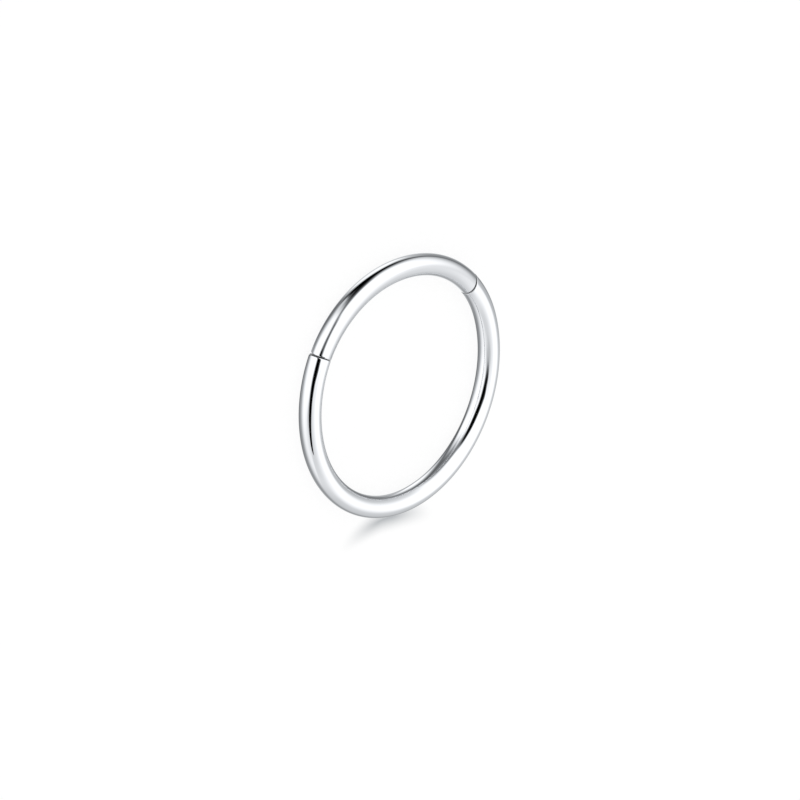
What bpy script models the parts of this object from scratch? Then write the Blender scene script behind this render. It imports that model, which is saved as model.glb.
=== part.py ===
"""Hinged segment ring: a polished steel wire ring with one segment that swings open.

The ring lies flat on Z = 0 with its axis along +Z, and its hinged segment is on the +Y side. The
origin is under the middle of its bounding box. Sizes are in metres. Angles are in degrees round the
ring's axis, from +X towards +Y.
"""
from math import ceil, cos, pi, radians, sin

import bmesh
import bpy
from mathutils import Matrix, Vector

MM = 0.001

# The wire, and the circle that the body is bent round
WIRE_RADIUS = 0.6 * MM
RING_RADIUS = 6.8 * MM

# The segment is bent flatter: at its middle it lies this far inside the circle
FLATTENING = 0.0505 * RING_RADIUS
FLAT_START = 11.8
FLAT_MIDDLE = 81.8
CLOSURE_ANGLE = 146.3
CLOSURE_SLOPE = 0.75

# The seams: the hinge's is slanted, its outer side further round than its inner side
HINGE_ANGLE = 33.7
HINGE_SEAM_SLANT = 20.4
SEAM_GAP = 0.055 * MM
RIM_ROUNDING = 0.07 * MM

# The pin: upright, outside the wire's centreline, and sunk in from below so that its top is hidden
PIN_ANGLE = 40.6
PIN_OUTWARD = 0.20 * MM
PIN_RADIUS = 0.14 * MM
PIN_TOP = 0.35 * MM
PIN_CLEARANCE = 0.02 * MM
PIN_END_GAP = 0.03 * MM

# The body's tongue, which lies in the segment's slot. It and the pin are trimmed to the wire's round
# surface by a core of the wire, a hair thinner than the wire itself.
TONGUE_THICKNESS = 0.40 * MM
TONGUE_HALF_WIDTH = 0.36 * MM
TONGUE_ROOT = 1.1 * MM
SLOT_SIDE_GAP = 0.03 * MM
SLOT_END_GAP = 0.04 * MM
FLUSH_DEPTH = 0.01 * MM
CORE_START = 15
CORE_END = 60

# The closure: a nub on the segment, the cap of a ball inside its end, in a dimple of the body
NUB_RADIUS = 0.26 * MM
NUB_HEIGHT = 0.12 * MM
NUB_GAP = 0.05 * MM
NUB_BALL_RADIUS = (NUB_RADIUS ** 2 + NUB_HEIGHT ** 2) / (2 * NUB_HEIGHT)
NUB_BALL_Y = NUB_HEIGHT - NUB_BALL_RADIUS - SEAM_GAP / 2

# How finely the round shapes are divided
WIRE_SIDES = 30
WIRE_STEP = 3.0
ROUND_SIDES = 32
NUB_RINGS = 16
RIM_SEGMENTS = 2
RIM_ANGLE = 60
SHARP_ANGLE = 40
WELD = 0.001 * MM
CLEAR = 3 * MM

RING_STEEL = (0.82, 0.83, 0.85, 1)
SEGMENT_STEEL = (0.80, 0.81, 0.84, 1)
PIN_STEEL = (0.72, 0.73, 0.75, 1)
MIRROR_POLISH = 0.06
GROUND_FLUSH = 0.15


def ease(share, start_slope):
    """Rise from 0 to 1 as share goes from 0 to 1, level at the end, with start_slope at the start."""
    return start_slope * share * (1 - share) ** 2 + share * share * (3 - 2 * share)


def centreline_radius(angle):
    """Distance of the wire's centreline from the ring's axis."""
    if not FLAT_START < angle < CLOSURE_ANGLE:
        return RING_RADIUS
    if angle < FLAT_MIDDLE:
        share = ease((angle - FLAT_START) / (FLAT_MIDDLE - FLAT_START), 0)
    else:
        share = ease((CLOSURE_ANGLE - angle) / (CLOSURE_ANGLE - FLAT_MIDDLE), CLOSURE_SLOPE)
    return RING_RADIUS - FLATTENING * share


def outward(angle):
    """Level unit vector away from the ring's axis."""
    return Vector((cos(radians(angle)), sin(radians(angle)), 0))


def ring_centre():
    """Centre of the body's circle, which the flatter segment moves off the bounding box's middle."""
    flat_reach = max(centreline_radius(angle) * outward(angle).y for angle in range(180))
    return Vector((0, (RING_RADIUS - flat_reach) / 2, WIRE_RADIUS * cos(pi / WIRE_SIDES)))


CENTRE = ring_centre()


def wire_point(angle, off_centreline=0):
    angle %= 360
    return CENTRE + (centreline_radius(angle) + off_centreline) * outward(angle)


def frame_at(point, angle):
    """Frame with its origin at a point, its X axis level at an angle and its Z axis up."""
    return Matrix.Translation(point) @ Matrix.Rotation(radians(angle), 4, "Z")


# Both seams lie in their frame's XZ plane, with the segment on the +Y side at the hinge and on the
# -Y side at the closure. The pin stands along its frame's Z axis, with the body on the -Y side.
HINGE_SEAM = frame_at(wire_point(HINGE_ANGLE), HINGE_ANGLE + HINGE_SEAM_SLANT)
CLOSURE_SEAM = frame_at(wire_point(CLOSURE_ANGLE), CLOSURE_ANGLE)
PIN = frame_at(wire_point(PIN_ANGLE, PIN_OUTWARD), PIN_ANGLE)


def new_collection(name):
    collection = bpy.data.collections.new(name)
    bpy.context.scene.collection.children.link(collection)
    return collection


def new_steel(name, colour, roughness):
    material = bpy.data.materials.new(name)
    material.use_nodes = True
    shader = material.node_tree.nodes["Principled BSDF"]
    shader.inputs["Base Color"].default_value = colour
    shader.inputs["Metallic"].default_value = 1
    shader.inputs["Roughness"].default_value = roughness
    return material


def new_object(name, mesh, collection, matrix=None):
    obj = bpy.data.objects.new(name, mesh)
    collection.objects.link(obj)
    if matrix:
        obj.matrix_world = matrix
    return obj


def mesh_from_curve(curve):
    """Evaluate a curve as a mesh, weld its loose caps and make each cap one face."""
    obj = new_object(curve.name, curve, bpy.context.scene.collection)
    depsgraph = bpy.context.evaluated_depsgraph_get()
    mesh = bpy.data.meshes.new_from_object(obj.evaluated_get(depsgraph))
    bpy.data.objects.remove(obj)
    bm = bmesh.new()
    bm.from_mesh(mesh)
    bmesh.ops.remove_doubles(bm, verts=bm.verts, dist=WELD)
    bmesh.ops.dissolve_faces(bm, faces=[face for face in bm.faces if len(face.verts) == 3])
    bm.to_mesh(mesh)
    bm.free()
    return mesh


def bent_wire(name, start, end, radius, collection):
    """Round wire along the ring's centreline, from one angle to another."""
    curve = bpy.data.curves.new(name, "CURVE")
    curve.dimensions = "3D"
    curve.twist_mode = "Z_UP"
    curve.bevel_depth = radius
    curve.bevel_resolution = (WIRE_SIDES - 4) // 2
    curve.use_fill_caps = True
    steps = ceil((end - start) / WIRE_STEP)
    spline = curve.splines.new("POLY")
    spline.points.add(steps)
    for i, point in enumerate(spline.points):
        point.co = (*wire_point(start + (end - start) * i / steps), 1)
    return new_object(name, mesh_from_curve(curve), collection)


def mitre(wire, seam, side):
    """Slide the cap at a seam along the wire onto the seam's plane; side is +1 or -1 along its Y."""
    normal = seam.to_3x3() @ Vector((0, -side, 0))
    plane = seam.translation - normal * SEAM_GAP / 2
    bm = bmesh.new()
    bm.from_mesh(wire.data)
    caps = [face for face in bm.faces if len(face.verts) == WIRE_SIDES]
    cap = min(caps, key=lambda face: (face.calc_center_median() - plane).length)
    direction = cap.normal.copy()
    for vert in cap.verts:
        vert.co += direction * (plane - vert.co).dot(normal) / direction.dot(normal)
    bm.to_mesh(wire.data)
    bm.free()


def round_rims(wire):
    """Round the wire's rims at both seams."""
    bevel = wire.modifiers.new("rims", "BEVEL")
    bevel.limit_method = "ANGLE"
    bevel.angle_limit = radians(RIM_ANGLE)
    bevel.width = RIM_ROUNDING
    bevel.segments = RIM_SEGMENTS


def arc(radius, start, end):
    """Points on an arc about the origin."""
    steps = ceil(ROUND_SIDES * abs(end - start) / 360)
    angles = [radians(start + (end - start) * i / steps) for i in range(steps + 1)]
    return [(radius * cos(a), radius * sin(a)) for a in angles]


def plate(name, outline, thickness, collection):
    """Level plate round the pin, at the wire's middle height."""
    curve = bpy.data.curves.new(name, "CURVE")
    curve.dimensions = "2D"
    curve.fill_mode = "BOTH"
    curve.extrude = thickness / 2
    spline = curve.splines.new("POLY")
    spline.points.add(len(outline) - 1)
    spline.use_cyclic_u = True
    for point, (x, y) in zip(spline.points, outline):
        point.co = (x, y, 0, 1)
    return new_object(name, mesh_from_curve(curve), collection, PIN)


def upright_rod(name, radius, top, collection):
    """Round rod on the pin's axis, from below the wire up to a height over its middle."""
    bm = bmesh.new()
    bmesh.ops.create_cone(bm, cap_ends=True, segments=ROUND_SIDES, radius1=radius, radius2=radius,
                          depth=CLEAR, matrix=Matrix.Translation((0, 0, top - CLEAR / 2)))
    mesh = bpy.data.meshes.new(name)
    bm.to_mesh(mesh)
    bm.free()
    return new_object(name, mesh, collection, PIN)


def ball(name, radius, collection):
    """Ball in the segment's end at the closure, on the wire's centreline."""
    bm = bmesh.new()
    bmesh.ops.create_uvsphere(bm, u_segments=ROUND_SIDES, v_segments=NUB_RINGS, radius=radius,
                              matrix=Matrix.Rotation(pi / 2, 4, "X"))
    mesh = bpy.data.meshes.new(name)
    bm.to_mesh(mesh)
    bm.free()
    return new_object(name, mesh, collection, CLOSURE_SEAM @ Matrix.Translation((0, NUB_BALL_Y, 0)))


def combine(obj, operation, other):
    """Boolean of an object with another, which then only guides it."""
    boolean = obj.modifiers.new(other.name, "BOOLEAN")
    boolean.operation = operation
    boolean.object = other
    other.hide_render = True
    other.display_type = "WIRE"


def tongue(cutters):
    """Flat tongue with a round end about the pin."""
    root = [(-TONGUE_HALF_WIDTH, -TONGUE_ROOT), (TONGUE_HALF_WIDTH, -TONGUE_ROOT)]
    shape = plate("tongue", arc(TONGUE_HALF_WIDTH, 0, 180) + root, TONGUE_THICKNESS, cutters)
    combine(shape, "INTERSECT", cutters.objects["wire_core"])
    return shape


def slot(cutters):
    """Room for the tongue to swing: open outward and towards the body, and closed on the inner side."""
    reach = TONGUE_HALF_WIDTH + SLOT_END_GAP
    sides = [(-reach, -CLEAR), (CLEAR, -CLEAR), (CLEAR, reach)]
    return plate("slot", arc(reach, 90, 180) + sides, TONGUE_THICKNESS + 2 * SLOT_SIDE_GAP, cutters)


def make_body(parts, cutters):
    body = bent_wire("ring_body", CLOSURE_ANGLE, HINGE_ANGLE + 360, WIRE_RADIUS, parts)
    mitre(body, CLOSURE_SEAM, 1)
    mitre(body, HINGE_SEAM, -1)
    round_rims(body)
    combine(body, "UNION", tongue(cutters))
    combine(body, "DIFFERENCE", cutters.objects["pin_hole"])
    combine(body, "DIFFERENCE", ball("dimple", NUB_BALL_RADIUS + NUB_GAP, cutters))
    return body


def make_segment(parts, cutters):
    segment = bent_wire("hinged_segment", HINGE_ANGLE, CLOSURE_ANGLE, WIRE_RADIUS, parts)
    mitre(segment, CLOSURE_SEAM, -1)
    mitre(segment, HINGE_SEAM, 1)
    round_rims(segment)
    combine(segment, "DIFFERENCE", slot(cutters))
    combine(segment, "DIFFERENCE", cutters.objects["pin_hole"])
    combine(segment, "UNION", ball("nub", NUB_BALL_RADIUS, cutters))
    return segment


def make_pin(parts, cutters):
    pin = upright_rod("hinge_pin", PIN_RADIUS, PIN_TOP, parts)
    combine(pin, "INTERSECT", cutters.objects["wire_core"])
    return pin


def make_ring():
    parts = new_collection("hinged_segment_ring")
    cutters = new_collection("cutters")
    bent_wire("wire_core", CORE_START, CORE_END, WIRE_RADIUS - FLUSH_DEPTH, cutters)
    upright_rod("pin_hole", PIN_RADIUS + PIN_CLEARANCE, PIN_TOP + PIN_END_GAP, cutters)
    body = make_body(parts, cutters)
    segment = make_segment(parts, cutters)
    pin = make_pin(parts, cutters)
    hinge = new_object("segment_hinge", None, parts, PIN)
    for piece in (segment, pin):
        piece.parent = hinge
        piece.matrix_parent_inverse = PIN.inverted()
    body.data.materials.append(new_steel("body_steel", RING_STEEL, MIRROR_POLISH))
    segment.data.materials.append(new_steel("segment_steel", SEGMENT_STEEL, MIRROR_POLISH))
    pin.data.materials.append(new_steel("pin_steel", PIN_STEEL, GROUND_FLUSH))
    for piece in (body, segment, pin):
        piece.data.shade_smooth()
        piece.data.set_sharp_from_angle(angle=radians(SHARP_ANGLE))


for old in list(bpy.data.objects):
    bpy.data.objects.remove(old)
make_ring()
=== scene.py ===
"""Hinged segment ring: polished steel wire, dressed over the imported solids.

The ring lies on Z = 0 with its axis along +Z and its hinged segment on the +Y side, in metres. Angles
are in degrees round the ring's axis, from +X towards +Y.
"""
from collections import namedtuple
from math import atan2, ceil, cos, degrees, hypot, pi, radians, sin

import bpy
from mathutils import Matrix, Vector


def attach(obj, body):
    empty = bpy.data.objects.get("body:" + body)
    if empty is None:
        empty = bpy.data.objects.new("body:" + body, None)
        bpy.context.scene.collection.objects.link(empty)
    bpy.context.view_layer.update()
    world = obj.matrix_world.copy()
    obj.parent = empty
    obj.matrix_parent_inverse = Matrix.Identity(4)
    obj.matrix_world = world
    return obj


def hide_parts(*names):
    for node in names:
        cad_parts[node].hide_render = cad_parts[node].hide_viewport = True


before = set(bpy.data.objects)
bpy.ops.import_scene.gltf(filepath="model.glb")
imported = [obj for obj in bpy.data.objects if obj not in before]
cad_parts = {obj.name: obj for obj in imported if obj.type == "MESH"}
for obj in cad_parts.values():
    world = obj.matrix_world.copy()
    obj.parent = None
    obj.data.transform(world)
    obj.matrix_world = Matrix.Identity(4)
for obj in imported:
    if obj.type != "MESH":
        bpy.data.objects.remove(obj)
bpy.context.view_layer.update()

MM = 0.001

# The wire and its centreline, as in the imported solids. Their wire has SOLID_SIDES flat sides, and lies
# on one of them
WIRE_RADIUS = 0.6 * MM
RING_RADIUS = 6.8 * MM
FLATTENING = 0.0505 * RING_RADIUS
FLAT_START, FLAT_MIDDLE, CLOSURE_ANGLE = 11.8, 81.8, 146.3
CLOSURE_SLOPE = 0.75
SOLID_SIDES = 30

# The seams, the hinge and the catch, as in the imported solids, but for CLOSED_GAP: the photo shows the
# closed ends all but touching
HINGE_ANGLE, HINGE_SEAM_SLANT = 33.7, 20.4
SEAM_GAP = 0.055 * MM
CLOSED_GAP = 0.014 * MM
RIM_ROUNDING = 0.07 * MM
PIN_ANGLE, PIN_OUTWARD = 40.6, 0.20 * MM
PIN_RADIUS, PIN_TOP = 0.14 * MM, 0.35 * MM
PIN_CLEARANCE, PIN_END_GAP = 0.02 * MM, 0.03 * MM
TONGUE_THICKNESS, TONGUE_HALF_WIDTH, TONGUE_ROOT = 0.40 * MM, 0.36 * MM, 1.1 * MM
SLOT_SIDE_GAP, SLOT_END_GAP = 0.03 * MM, 0.04 * MM
FLUSH_DEPTH = 0.01 * MM
NUB_RADIUS, NUB_HEIGHT, NUB_GAP = 0.26 * MM, 0.12 * MM, 0.05 * MM
NUB_BALL_RADIUS = (NUB_RADIUS ** 2 + NUB_HEIGHT ** 2) / (2 * NUB_HEIGHT)
NUB_BALL_Y = NUB_HEIGHT - NUB_BALL_RADIUS - SEAM_GAP / 2

# Rounding that the solids leave out: the edges of the tongue's flat sides and of the pin's top
EDGE_ROUNDING = 0.03 * MM

# How finely the shapes are divided, the steps in degrees
WIRE_SIDES, ROUND_SIDES = 96, 64
GUIDE_STEP, BEND_STEP, HEADING_STEP = 0.25, 1.6, 0.05
RIM_SEGMENTS, TONGUE_EDGE_SEGMENTS, PIN_EDGE_SEGMENTS = 8, 3, 4
SHARP_ANGLE, BEVEL_ANGLE = 32, 60
# Loops behind a seam, at distances from it. They are less slanted the further they are, the last upright
SEAM_LOOPS = [distance * MM for distance in (0.10, 0.15, 0.22, 0.31, 0.42, 0.56, 0.72)]
UPRIGHT_LOOP = SEAM_LOOPS[-1]

# Help with the modelling: what is left over at the ends and cut off, and how far cutters reach
BAR_SPARE, GUIDE_SPARE = 0.9 * MM, 8
CORE_START, CORE_END = 15, 60
REACH = 3 * MM
END_TOLERANCE = 0.1 * MM
TINY = 1e-8
# A bar's long edges are divided into COARSE_PARTS first. An edge is long from LONG_SHARE of the length
# that is looked for, and a face looks up where its normal rises by more than UP_SHARE
COARSE_PARTS, LONG_SHARE, UP_SHARE = 4, 0.8, 0.9

# The finishes: tones of the darker and lighter patches, and the roughness of the two and what the
# marks add to it
POLISH_TONES, POLISH_ROUGHNESS = (0.81, 0.845), (0.055, 0.03, 0.02)
# The cut faces' tones are darker than steel: their own faced finish and also painted shade for the gaps
# at the seams
FACED_AND_GAP_SHADE_TONES, FACED_ROUGHNESS = (0.3, 0.36), (0.42, 0.34, 0.06)
GROUND_TONES, GROUND_ROUGHNESS = (0.68, 0.74), (0.26, 0.2, 0.05)
STEEL_TINT = (1, 1.012, 1.036)
POLISH_PATCH, FACED_PATCH = 1.4 * MM, 0.28 * MM
LINE_WIDTH, LINE_LENGTH, LINE_RELIEF = 0.03 * MM, 2.5 * MM, 0.0002 * MM
RING_MARK, RING_RELIEF = 0.02 * MM, 0.002 * MM
POLISH_DEPTH = 0.012 * MM


# The wire's centreline

def ease(share, start_slope):
    """Smooth rise from 0 to 1, with a slope at its start and none at its end."""
    return start_slope * share * (1 - share) ** 2 + share * share * (3 - 2 * share)


def centreline_radius(angle):
    """Distance of the wire's centreline from the ring's axis."""
    if not FLAT_START < angle < CLOSURE_ANGLE:
        return RING_RADIUS
    if angle < FLAT_MIDDLE:
        share = ease((angle - FLAT_START) / (FLAT_MIDDLE - FLAT_START), 0)
    else:
        share = ease((CLOSURE_ANGLE - angle) / (CLOSURE_ANGLE - FLAT_MIDDLE), CLOSURE_SLOPE)
    return RING_RADIUS - FLATTENING * share


def ring_centre():
    """Middle of the body's circle, which the flatter segment moves off the middle of the ring's box."""
    flat_reach = max(centreline_radius(angle) * sin(radians(angle)) for angle in range(180))
    return Vector((0, (RING_RADIUS - flat_reach) / 2, WIRE_RADIUS * cos(pi / SOLID_SIDES)))


CENTRE = ring_centre()


def wire_point(angle, off_centreline=0):
    direction = Vector((cos(radians(angle)), sin(radians(angle)), 0))
    return CENTRE + (centreline_radius(angle % 360) + off_centreline) * direction


def frame_at(point, angle):
    """Frame with its origin at a point, its X axis level at an angle and its Z axis up."""
    return Matrix.Translation(point) @ Matrix.Rotation(radians(angle), 4, "Z")


HINGE_SEAM = frame_at(wire_point(HINGE_ANGLE), HINGE_ANGLE + HINGE_SEAM_SLANT)
CLOSURE_SEAM = frame_at(wire_point(CLOSURE_ANGLE), CLOSURE_ANGLE)
PIN = frame_at(wire_point(PIN_ANGLE, PIN_OUTWARD), PIN_ANGLE)


# Modelling helpers

def deselect():
    bpy.ops.object.select_all(action="DESELECT")


def work_on(piece):
    deselect()
    bpy.context.view_layer.objects.active = piece
    piece.select_set(True)


def apply_place(piece):
    work_on(piece)
    bpy.ops.object.transform_apply(location=True, rotation=True, scale=True)
    return piece


def pick(piece, chosen, kind="FACE"):
    """In edit mode, selects the faces, edges or vertices of a piece that pass a test."""
    bpy.ops.mesh.select_all(action="DESELECT")
    bpy.ops.object.mode_set(mode="OBJECT")
    bpy.context.tool_settings.mesh_select_mode = (kind == "VERT", kind == "EDGE", kind == "FACE")
    mesh = piece.data
    for part in {"VERT": mesh.vertices, "EDGE": mesh.edges, "FACE": mesh.polygons}[kind]:
        part.select = chosen(part)
    bpy.ops.object.mode_set(mode="EDIT")


def apply_modifier(piece, kind, **settings):
    work_on(piece)
    modifier = piece.modifiers.new(kind.lower(), kind)
    for name, value in settings.items():
        setattr(modifier, name, value)
    bpy.ops.object.modifier_apply(modifier=modifier.name)


def combine(piece, operation, other, keep=False):
    apply_modifier(piece, "BOOLEAN", operation=operation, object=other, solver="EXACT")
    if not keep:
        bpy.data.objects.remove(other)


# The wire

def guide_along(start, end):
    """Curve along the centreline, and a function from an angle to the distance along it."""
    steps = round((end - start) / GUIDE_STEP)
    angles = [start + (end - start) * i / steps for i in range(steps + 1)]
    points = [wire_point(angle) for angle in angles]
    curve = bpy.data.curves.new("guide", "CURVE")
    curve.dimensions = "3D"
    curve.twist_mode = "Z_UP"
    curve.use_deform_bounds = False
    spline = curve.splines.new("POLY")
    spline.points.add(steps)
    for place, point in zip(spline.points, points):
        place.co = (*point, 1)
    guide = bpy.data.objects.new("guide", curve)
    bpy.context.scene.collection.objects.link(guide)
    distances = [0]
    for one, other in zip(points, points[1:]):
        distances.append(distances[-1] + (other - one).length)

    def along(angle):
        place = (angle - start) / (end - start) * steps
        i = min(int(place), steps - 1)
        return distances[i] + (distances[i + 1] - distances[i]) * (place - i)

    return guide, along


def centreline_heading(angle):
    step = wire_point(angle + HEADING_STEP) - wire_point(angle - HEADING_STEP)
    return step.normalized()


def seam_tilt(angle, seam):
    """Slope of a seam's plane across the straight bar: how far along the bar it runs per unit inward."""
    heading = centreline_heading(angle)
    inward = Vector((-heading.y, heading.x, 0))
    across = seam.to_3x3() @ Vector((1, 0, 0))
    return across.dot(heading) / across.dot(inward)


def cut_loop(bar, distance, slope, **clear):
    """Cuts the bar along a plane at a distance along it, slanted by a slope."""
    bpy.ops.mesh.select_all(action="SELECT")
    bpy.ops.mesh.bisect(plane_co=(distance, 0, 0), plane_no=(1, -slope, 0), threshold=TINY, **clear)


def cut_end(bar, distance, slope, side):
    """Cuts one end of the bar off along its seam, rounds the rim and leaves loops close behind it."""
    for back in SEAM_LOOPS:
        fade = 1 - back / UPRIGHT_LOOP
        cut_loop(bar, distance - side * back, slope * fade * fade * (3 - 2 * fade))
    cut_loop(bar, distance, slope, use_fill=True, clear_outer=side > 0, clear_inner=side < 0)
    pick(bar, lambda face: len(face.vertices) == WIRE_SIDES
         and abs(face.center.x - distance) < END_TOLERANCE)
    bpy.ops.mesh.region_to_loop()
    bpy.ops.mesh.bevel(offset=RIM_ROUNDING, segments=RIM_SEGMENTS, profile=0.5, affect="EDGES",
                       clamp_overlap=False)


def divide(bar, length, parts):
    """Divides the bar's long edges, coarsely and then each of those parts, and leaves edit mode."""
    fine_parts = ceil(parts / COARSE_PARTS)
    for size, cuts in ((length, COARSE_PARTS - 1), (length / COARSE_PARTS, fine_parts - 1)):
        def is_long(edge):
            one, other = (bar.data.vertices[i].co for i in edge.vertices)
            return abs(one.x - other.x) > LONG_SHARE * size

        pick(bar, is_long, "EDGE")
        bpy.ops.mesh.subdivide(number_cuts=cuts)
    bpy.ops.object.mode_set(mode="OBJECT")


def bent_wire(name, start, end, start_seam, end_seam, start_gap, end_gap):
    """Round wire along the centreline between two seams, with rounded rims."""
    guide, along = guide_along(start - GUIDE_SPARE, end + GUIDE_SPARE)
    first, last = along(start) + start_gap / 2, along(end) - end_gap / 2
    length = last - first + 2 * BAR_SPARE
    deselect()
    bpy.ops.mesh.primitive_cylinder_add(vertices=WIRE_SIDES, radius=WIRE_RADIUS, depth=length,
                                        location=((first + last) / 2, 0, 0), rotation=(0, pi / 2, 0))
    bar = apply_place(bpy.context.object)
    bar.name = bar.data.name = name
    bpy.ops.object.mode_set(mode="EDIT")
    cut_end(bar, first, seam_tilt(start, start_seam), -1)
    cut_end(bar, last, seam_tilt(end, end_seam), 1)
    divide(bar, last - first - 2 * UPRIGHT_LOOP, round((end - start) / BEND_STEP))
    apply_modifier(bar, "CURVE", object=guide, deform_axis="POS_X")
    bpy.data.objects.remove(guide)
    return bar


# The hinge and the catch

def wire_core():
    """Length of the wire at the hinge, a hair thinner, that trims tongue and pin flush."""
    guide, along = guide_along(CORE_START - GUIDE_SPARE, CORE_END + GUIDE_SPARE)
    deselect()
    length = along(CORE_END) - along(CORE_START)
    bpy.ops.mesh.primitive_cylinder_add(vertices=WIRE_SIDES, radius=WIRE_RADIUS - FLUSH_DEPTH,
                                        depth=length, location=(along(CORE_START) + length / 2, 0, 0),
                                        rotation=(0, pi / 2, 0))
    core = apply_place(bpy.context.object)
    bpy.ops.object.mode_set(mode="EDIT")
    divide(core, length, round((CORE_END - CORE_START) / BEND_STEP))
    apply_modifier(core, "CURVE", object=guide, deform_axis="POS_X")
    bpy.data.objects.remove(guide)
    return core


def rod(radius, bottom, top, edge_rounding=0):
    """Upright round rod at the pin, between two heights over the wire's middle."""
    deselect()
    bpy.ops.mesh.primitive_cylinder_add(vertices=ROUND_SIDES, radius=radius, depth=top - bottom,
                                        location=(0, 0, (top + bottom) / 2))
    piece = apply_place(bpy.context.object)
    if edge_rounding:
        bpy.ops.object.mode_set(mode="EDIT")
        pick(piece, lambda face: face.normal.z > UP_SHARE)
        bpy.ops.mesh.region_to_loop()
        bpy.ops.mesh.bevel(offset=edge_rounding, segments=PIN_EDGE_SEGMENTS, affect="EDGES",
                           clamp_overlap=False)
        bpy.ops.object.mode_set(mode="OBJECT")
    return piece


def stretch(piece, chosen, move):
    """Moves the chosen points of a piece, in edit mode, by a vector."""
    work_on(piece)
    bpy.ops.object.mode_set(mode="EDIT")
    pick(piece, chosen, "VERT")
    bpy.ops.transform.translate(value=move)
    bpy.ops.object.mode_set(mode="OBJECT")


def place_at(piece, matrix):
    piece.matrix_world = matrix
    return apply_place(piece)


def tongue(core):
    """Flat tongue with a round end about the pin, its flat sides' edges rounded."""
    half = TONGUE_THICKNESS / 2
    piece = rod(TONGUE_HALF_WIDTH, -half, half)
    stretch(piece, lambda vert: vert.co.y < -TINY, (0, -TONGUE_ROOT, 0))
    apply_modifier(piece, "BEVEL", limit_method="ANGLE", angle_limit=radians(BEVEL_ANGLE),
                   width=EDGE_ROUNDING, segments=TONGUE_EDGE_SEGMENTS)
    place_at(piece, PIN)
    combine(piece, "INTERSECT", core, keep=True)
    return piece


def slot():
    """Room for the tongue to swing: open outward and towards the body, closed on the inner side."""
    reach = TONGUE_HALF_WIDTH + SLOT_END_GAP
    half = TONGUE_THICKNESS / 2 + SLOT_SIDE_GAP
    piece = rod(reach, -half, half)
    stretch(piece, lambda vert: vert.co.y < -TINY, (0, -REACH, 0))
    stretch(piece, lambda vert: vert.co.x > TINY, (REACH, 0, 0))
    return place_at(piece, PIN)


def ball(radius):
    """Ball in the segment's end at the closure, on the wire's centreline."""
    deselect()
    bpy.ops.mesh.primitive_uv_sphere_add(segments=ROUND_SIDES, ring_count=ROUND_SIDES // 2,
                                         radius=radius, rotation=(pi / 2, 0, 0),
                                         location=(0, NUB_BALL_Y, 0))
    return place_at(apply_place(bpy.context.object), CLOSURE_SEAM)


def pin_hole():
    return place_at(rod(PIN_RADIUS + PIN_CLEARANCE, -REACH, PIN_TOP + PIN_END_GAP), PIN)


# Finishes

class Socket:
    """A node's output. Arithmetic on it adds Math nodes, and node() adds any other node."""

    def __init__(self, tree, output=None):
        self.tree, self.output = tree, output

    def node(self, kind, settings=None, inputs=None, output=0):
        new = self.tree.nodes.new(kind)
        for name, value in (settings or {}).items():
            setattr(new, name, value)
        for name, value in (inputs or {}).items():
            if isinstance(value, Socket):
                self.tree.links.new(value.output, new.inputs[name])
            else:
                new.inputs[name].default_value = value
        return Socket(self.tree, new.outputs[output] if new.outputs else None)

    def maths(self, operation, *values):
        return self.node("ShaderNodeMath", {"operation": operation}, dict(enumerate(values)))

    def __add__(self, other):
        return self.maths("ADD", self, other)

    def __sub__(self, other):
        return self.maths("SUBTRACT", self, other)

    def __rsub__(self, other):
        return self.maths("SUBTRACT", other, self)

    def __mul__(self, other):
        return self.maths("MULTIPLY", self, other)

    def __truediv__(self, other):
        return self.maths("DIVIDE", self, other)

    __radd__, __rmul__ = __add__, __mul__

    def clamped(self, low, high):
        return self.maths("MINIMUM", self.maths("MAXIMUM", self, low), high)


def grey(level):
    """Steel grey of a level, a hair bluish."""
    return (*(level * tint for tint in STEEL_TINT), 1)


def mix(graph, share, dark, light):
    """Colour between two, from the dark one at a share of 0 to the light one at 1."""
    return graph.node("ShaderNodeMix", {"data_type": "RGBA"}, {0: share, 6: dark, 7: light}, 2)


def new_material(name):
    """Material with its shader, as a node and as a graph to add to."""
    material = bpy.data.materials.new(name)
    material.use_nodes = True
    shader = material.node_tree.nodes["Principled BSDF"]
    return material, Socket(material.node_tree), shader


def place_parts(graph):
    """The place on a piece from the ring's middle: the X, Y and Z sockets, in metres."""
    place = graph.node("ShaderNodeTexCoord", output="Object")
    centred = graph.node("ShaderNodeVectorMath", {"operation": "SUBTRACT"}, {0: place, 1: CENTRE})
    split = graph.node("ShaderNodeSeparateXYZ", inputs={"Vector": centred}).output.node
    return [Socket(graph.tree, output) for output in split.outputs]


def finish_steel(graph, shader, patches, marks, tones, roughness, relief):
    """Metal that is a little lighter and smoother in some patches, with fine marks in relief."""
    colour = mix(graph, patches, grey(tones[0]), grey(tones[1]))
    bump = graph.node("ShaderNodeBump", inputs={"Height": marks, "Strength": 1, "Distance": relief})
    shine = roughness[0] + patches * (roughness[1] - roughness[0]) + marks * roughness[2]
    shader.inputs["Metallic"].default_value = 1
    for name, value in (("Base Color", colour), ("Roughness", shine), ("Normal", bump)):
        graph.tree.links.new(value.output, shader.inputs[name])


def cloud(graph, x, y, z, size, detail=3):
    """Noise in patches of a size, from three coordinates."""
    place = graph.node("ShaderNodeCombineXYZ", inputs={"X": x, "Y": y, "Z": z})
    return graph.node("ShaderNodeTexNoise", inputs={"Vector": place, "Scale": 1 / size, "Detail": detail})


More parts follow.
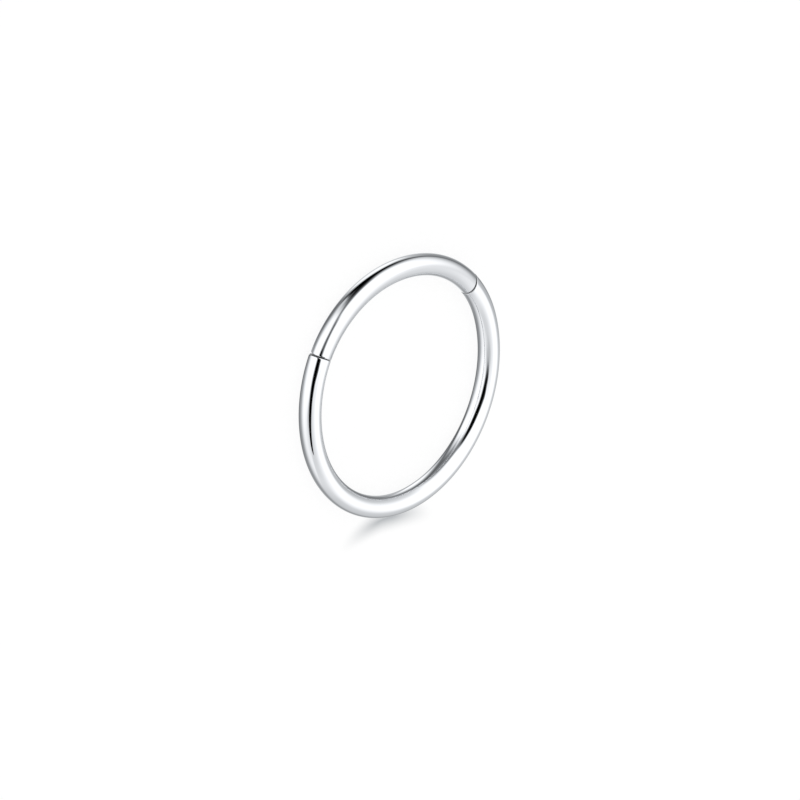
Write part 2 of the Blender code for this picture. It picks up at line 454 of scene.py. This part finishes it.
def mirror_polish(name):
    """Buffed steel: a mirror with hair-fine polishing lines along the wire."""
    material, graph, shader = new_material(name)
    x, y, z = place_parts(graph)
    from_axis = graph.maths("SQRT", x * x + y * y)
    along = graph.maths("ARCTAN2", y, x) * (RING_RADIUS * LINE_WIDTH / LINE_LENGTH)
    lines = cloud(graph, from_axis, z, along, LINE_WIDTH)
    patches = cloud(graph, x, y, z, POLISH_PATCH)
    finish_steel(graph, shader, patches, lines, POLISH_TONES, POLISH_ROUGHNESS, LINE_RELIEF)
    return material


def turned(name, axis_distance, tones, roughness):
    """Faced steel: fine rings about an axis, from a function that gives the distance to it."""
    material, graph, shader = new_material(name)
    x, y, z = place_parts(graph)
    rings = graph.node("ShaderNodeTexNoise", {"noise_dimensions": "1D"},
                       {"W": axis_distance(x, y, z), "Scale": 1 / RING_MARK, "Detail": 2})
    patches = cloud(graph, x, y, z, FACED_PATCH)
    finish_steel(graph, shader, patches, rings, tones, roughness, RING_RELIEF)
    return material


def from_wire(x, y, z):
    """Distance from the wire's middle line."""
    across = x.maths("SQRT", x * x + y * y) - RING_RADIUS
    return x.maths("SQRT", across * across + z * z)


def from_pin(x, y, z):
    """Distance from the pin's axis."""
    pin_middle = PIN.translation - CENTRE
    across, onward = x - pin_middle.x, y - pin_middle.y
    return x.maths("SQRT", across * across + onward * onward)


def is_cut(face):
    """Whether a face lies deeper in the wire than the polish reaches: a cut end, slot or hole."""
    place = face.center - CENTRE
    radius = centreline_radius(degrees(atan2(place.y, place.x)) % 360)
    depth = WIRE_RADIUS - hypot(hypot(place.x, place.y) - radius, place.z)
    return depth > POLISH_DEPTH


def finish_faces(piece, outside, inside=None):
    """Gives a piece its finish, and its cut faces another, and smooths all but its edges."""
    piece.data.materials.clear()
    piece.data.materials.append(outside)
    if inside:
        piece.data.materials.append(inside)
        for face in piece.data.polygons:
            face.material_index = int(is_cut(face))
    work_on(piece)
    bpy.ops.object.shade_smooth_by_angle(angle=radians(SHARP_ANGLE))


# The ring

def make_ring():
    core = wire_core()
    body = bent_wire("polished_body", CLOSURE_ANGLE, HINGE_ANGLE + 360, CLOSURE_SEAM, HINGE_SEAM,
                     CLOSED_GAP, SEAM_GAP)
    combine(body, "UNION", tongue(core))
    combine(body, "DIFFERENCE", pin_hole())
    combine(body, "DIFFERENCE", ball(NUB_BALL_RADIUS + NUB_GAP))
    segment = bent_wire("polished_segment", HINGE_ANGLE, CLOSURE_ANGLE, HINGE_SEAM, CLOSURE_SEAM,
                        SEAM_GAP, CLOSED_GAP)
    combine(segment, "DIFFERENCE", slot())
    combine(segment, "DIFFERENCE", pin_hole())
    combine(segment, "UNION", ball(NUB_BALL_RADIUS))
    pin = place_at(rod(PIN_RADIUS, -REACH, PIN_TOP, EDGE_ROUNDING), PIN)
    combine(pin, "INTERSECT", core)
    pin.name = pin.data.name = "ground_pin"
    return body, segment, pin


body, segment, pin = make_ring()
# The cut faces get dark faced steel, which also paints shade into the gaps at the seams
faced = turned("faced_steel_and_gap_shade", from_wire, FACED_AND_GAP_SHADE_TONES, FACED_ROUGHNESS)
finish_faces(body, mirror_polish("body_polish"), faced)
finish_faces(segment, mirror_polish("segment_polish"), faced)
finish_faces(pin, turned("ground_steel", from_pin, GROUND_TONES, GROUND_ROUGHNESS))
for piece, carrier, node, slot_name in (
    (body, "ring_body", "ring_body", "body_steel"),
    (segment, "segment", "hinged_segment", "segment_steel"),
    (pin, "segment", "hinge_pin", "pin_steel"),
):
    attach(piece, carrier)
    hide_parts(node)


# The studio

# The camera as solved from the ring's outline in the photo, turned so that the ring lies down
CAMERA_AZIMUTH, CAMERA_ELEVATION, CAMERA_ROLL = 145.3, 40.45, -109.37
CAMERA_DISTANCE = 295.65 * MM
CAMERA_NEAR, CAMERA_FAR = 10 * MM, 10
SENSOR, LENS = 36, 251.08
SHIFT_X, SHIFT_Y = -0.00098, -0.0210

BLACK, WHITE = (0, 0, 0, 1), (1, 1, 1, 1)
FLOOR_SIZE, FLOOR_GREY, FLOOR_GLOW = 4, 0.16, 0.88
SPHERE_RADIUS, OUTER_SPHERE_RADIUS, SPHERE_LIGHT = 3, 3.3, 1.24
SPHERE_SEGMENTS = 96
# The second tint colours the shadow painted into the floor
SHADE_TINT, PAINTED_SHADOW_TINT = (0.965, 1, 1.03, 1), (0, 0.04, 0.08, 1)
HALF_TURN = 180

# A card is a soft-edged strip between two places. It has its half widths there, the softness of its
# edge, its level of light, and its cover, from 0 for a clear card to 1 for one that hides all behind it
Card = namedtuple("Card", "start end half_widths softness light cover")

# Cards in the surroundings, the later ones in front. Places are the azimuth from the camera's and the
# elevation, in degrees, as seen from the ring
BODY_CARDS = {
    "dark ground": Card((-235, -90), (20, -85), (45, 10), 25, 0.15, 1),
    "low bar at the left": Card((-155, -5), (-40, -20), (20, 5), 35, 0, 1),
    "post at the left": Card((-60, -85), (-65, -5), (20, 20), 35, 0.05, 0.9),
    "grey rise to the bar": Card((-60, -5), (-10, 35), (15, 10), 15, 0.2, 1),
    "bar over the camera": Card((-25, 30), (35, 44), (12, 16), 15, 0, 1),
    "upper end of the bar": Card((-10, 34), (20, 55), (18, 10), 10, 0, 0.95),
    "grey end of the bar": Card((50, 30), (60, 45), (12, 12), 20, 0.25, 0.7),
    "post behind": Card((-145, -35), (-165, 20), (24, 6), 10, 0, 0.55),
    "low veil at the right": Card((5, -95), (165, -12), (26, 27), 60, 0.25, 1),
    "thin veil at the right": Card((70, 20), (75, 25), (15, 45), 75, 0.5, 0.75),
    "thin veil behind": Card((130, 5), (250, 10), (22, 20), 25, 0.55, 0.75),
}
SEGMENT_CARDS = {
    "low veil": Card((-15, -65), (140, -10), (15, 25), 35, 0.2, 0.9),
    "thin bar at the left": Card((-145, -5), (-60, -20), (6, 6), 4, 0, 0.95),
    "low bar at the left": Card((-60, -5), (-95, -10), (15, 15), 30, 0, 1),
    "post at the left": Card((-60, -40), (-75, -15), (6, 14), 12, 0, 1),
    "rise to the bar": Card((-65, 5), (-35, 25), (14, 6), 18, 0, 0.85),
    "bar over the camera": Card((-30, 35), (70, 55), (9, 33), 17, 0, 0.9),
    "grey post behind": Card((-135, -15), (-170, 10), (27, 20), 40, 0.2, 0.9),
    "dark ground": Card((-60, -75), (-55, -65), (70, 35), 55, 0, 0.85),
    "wide veil behind": Card((225, -75), (155, 10), (5, 22), 90, 0, 0.4),
    "thin veil behind": Card((-165, 45), (-225, 10), (2, 25), 40, 0.65, 0.8),
    "white gap at the left": Card((-105, -45), (-100, -45), (17, 20), 12, 1, 0.85),
}
# The card held close over the ring beside the closure, in ring radii from the ring's middle with X
# towards the camera
CLOSE_CARD = Card((1.5, 0.05), (0.95, 1.2), (0.165, 0.13), 0.045, 0, 1)
CLOSE_CARD_HEIGHT, CLOSE_PLANE_SIZE = 0.35, 4
# The soft shadow painted into the floor's colour and glow is a strip bent round a place there, in ring
# radii too. It is laid out by the angle round that place in radians, times SHADOW_BEND, and the distance
# from it
SHADOW_MIDDLE, SHADOW_BEND = (-1, 2), 0.3
PAINTED_FLOOR_SHADOW = Card((-0.34, 1.09), (-0.3, 1.09), (0.01, 0), 0.27, 0, 1)


def make_camera():
    azimuth, elevation, roll = map(radians, (CAMERA_AZIMUTH, CAMERA_ELEVATION, CAMERA_ROLL))
    back = Vector((cos(azimuth) * cos(elevation), sin(azimuth) * cos(elevation), sin(elevation)))
    level = Vector((-sin(azimuth), cos(azimuth), 0))
    upright = back.cross(level)
    right = cos(roll) * level - sin(roll) * upright
    up = sin(roll) * level + cos(roll) * upright
    camera = bpy.data.cameras.new("camera")
    camera.sensor_width, camera.lens = SENSOR, LENS
    camera.shift_x, camera.shift_y = SHIFT_X, SHIFT_Y
    camera.clip_start, camera.clip_end = CAMERA_NEAR, CAMERA_FAR
    holder = bpy.data.objects.new("camera", camera)
    bpy.context.scene.collection.objects.link(holder)
    turn = Matrix((right, up, back)).transposed().to_4x4()
    holder.matrix_world = Matrix.Translation(CENTRE + CAMERA_DISTANCE * back) @ turn
    bpy.context.scene.camera = holder


def show_cards(x, y, cards):
    """Level of light at a place, 1 where no card is. An X in degrees may lie any whole turns off."""
    light = 1
    for card in cards:
        (start_x, start_y), (end_x, end_y) = card.start, card.end
        run, rise = end_x - start_x, end_y - start_y
        across = x.maths("WRAP", x - (start_x + run / 2), HALF_TURN, -HALF_TURN) + run / 2
        up = y - start_y
        share = ((across * run + up * rise) / (run * run + rise * rise)).clamped(0, 1)
        off, over = across - share * run, up - share * rise
        first, last = card.half_widths
        edge = x.maths("SQRT", off * off + over * over) - share * (last - first) - first
        soft = card.softness / 2
        mask = x.node("ShaderNodeMapRange", {"interpolation_type": "SMOOTHSTEP"},
                      {"Value": edge, "From Min": soft, "From Max": -soft})
        light = light + (card.light - light) * (mask * card.cover)
    return light


def studio_plane(name, size, height, material):
    """Level plane over the ring's middle, its own X towards the camera, that isn't part of the ring."""
    deselect()
    bpy.ops.mesh.primitive_plane_add(size=size, location=(CENTRE.x, CENTRE.y, height),
                                     rotation=(0, 0, radians(CAMERA_AZIMUTH)))
    plane = bpy.context.object
    plane.name = name
    plane.data.materials.append(material)
    return plane


def ring_radii(graph):
    """Place on a studio plane, in ring radii: the X and Y sockets."""
    place = graph.node("ShaderNodeTexCoord", output="Object")
    split = graph.node("ShaderNodeSeparateXYZ", inputs={"Vector": place}).output.node
    return [Socket(graph.tree, output) / RING_RADIUS for output in split.outputs[:2]]


def make_floor():
    """White floor that glows softly, with a faint shadow painted into its colour and glow. The ring
    doesn't mirror it.
    """
    material, graph, shader = new_material("pale_floor")
    x, y = ring_radii(graph)
    x, y = x - SHADOW_MIDDLE[0], y - SHADOW_MIDDLE[1]
    turn = x.maths("ARCTAN2", y, x)
    # light is the level of the painted shadow, which darkens the floor's colour and glow
    light = show_cards(turn * SHADOW_BEND, x.maths("SQRT", x * x + y * y), [PAINTED_FLOOR_SHADOW])
    colour = mix(graph, light * FLOOR_GREY, BLACK, WHITE)
    glow = mix(graph, light, PAINTED_SHADOW_TINT, WHITE)
    shader.inputs["Roughness"].default_value = 1
    shader.inputs["Specular IOR Level"].default_value = 0
    shader.inputs["Emission Strength"].default_value = FLOOR_GLOW
    graph.tree.links.new(colour.output, shader.inputs["Base Color"])
    graph.tree.links.new(glow.output, shader.inputs["Emission Color"])
    floor = studio_plane("floor", FLOOR_SIZE, 0, material)
    floor.visible_glossy = False


def only_mirrored(piece):
    """Leaves a thing of the studio to be seen in the polish alone."""
    piece.visible_camera = piece.visible_diffuse = piece.visible_shadow = False
    piece.visible_transmission = piece.visible_volume_scatter = False


def make_close_card():
    """Small soft black card level over the ring."""
    material, graph, shader = new_material("black_card")
    shader.inputs["Base Color"].default_value = BLACK
    shader.inputs["Specular IOR Level"].default_value = 0
    clear = show_cards(*ring_radii(graph), [CLOSE_CARD])
    graph.tree.links.new((1 - clear).output, shader.inputs["Alpha"])
    height = CENTRE.z + CLOSE_CARD_HEIGHT * RING_RADIUS
    only_mirrored(studio_plane("black_card", CLOSE_PLANE_SIZE * RING_RADIUS, height, material))


def surroundings(name, cards, radius, receivers):
    """Sphere of soft white light with dark cards in it, which only the receivers mirror."""
    material = bpy.data.materials.new(name)
    material.use_nodes = True
    tree = material.node_tree
    tree.nodes.clear()
    graph = Socket(tree)
    place = graph.node("ShaderNodeTexCoord", output="Object")
    direction = graph.node("ShaderNodeVectorMath", {"operation": "NORMALIZE"}, {0: place})
    split = graph.node("ShaderNodeSeparateXYZ", inputs={"Vector": direction})
    x, y, z = (Socket(tree, split.output.node.outputs[i]) for i in range(3))
    azimuth = graph.maths("ARCTAN2", y, x) * degrees(1) - CAMERA_AZIMUTH
    elevation = graph.maths("ARCSINE", z) * degrees(1)
    light = show_cards(azimuth, elevation, cards.values())
    colour = mix(graph, light, BLACK, mix(graph, light, SHADE_TINT, WHITE))
    glow = graph.node("ShaderNodeEmission", inputs={"Color": colour, "Strength": SPHERE_LIGHT})
    clear = graph.node("ShaderNodeBsdfTransparent")
    both = graph.node("ShaderNodeAddShader", inputs={0: glow, 1: clear})
    graph.node("ShaderNodeOutputMaterial", inputs={"Surface": both})
    material.cycles.emission_sampling = "NONE"
    deselect()
    bpy.ops.mesh.primitive_uv_sphere_add(segments=SPHERE_SEGMENTS, ring_count=SPHERE_SEGMENTS // 2,
                                         radius=radius)
    sphere = bpy.context.object
    sphere.name = name
    sphere.data.materials.append(material)
    only_mirrored(sphere)
    seen_by = bpy.data.collections.new(name)
    for piece in receivers:
        seen_by.objects.link(piece)
    sphere.light_linking.receiver_collection = seen_by


def make_world():
    """Plain white light for the floor and the view, which the polished pieces don't mirror."""
    world = bpy.data.worlds.new("studio")
    bpy.context.scene.world = world
    world.use_nodes = True
    tree = world.node_tree
    tree.nodes.clear()
    graph = Socket(tree)
    mirrored = graph.node("ShaderNodeLightPath", output="Is Glossy Ray")
    back = graph.node("ShaderNodeBackground", inputs={"Strength": 1 - mirrored})
    graph.node("ShaderNodeOutputWorld", inputs={"Surface": back})


make_camera()
make_floor()
make_close_card()
make_world()
surroundings("round_the_body", BODY_CARDS, SPHERE_RADIUS, [body])
surroundings("round_the_segment", SEGMENT_CARDS, OUTER_SPHERE_RADIUS, [segment, pin])
bpy.context.scene.view_settings.view_transform = "Standard"
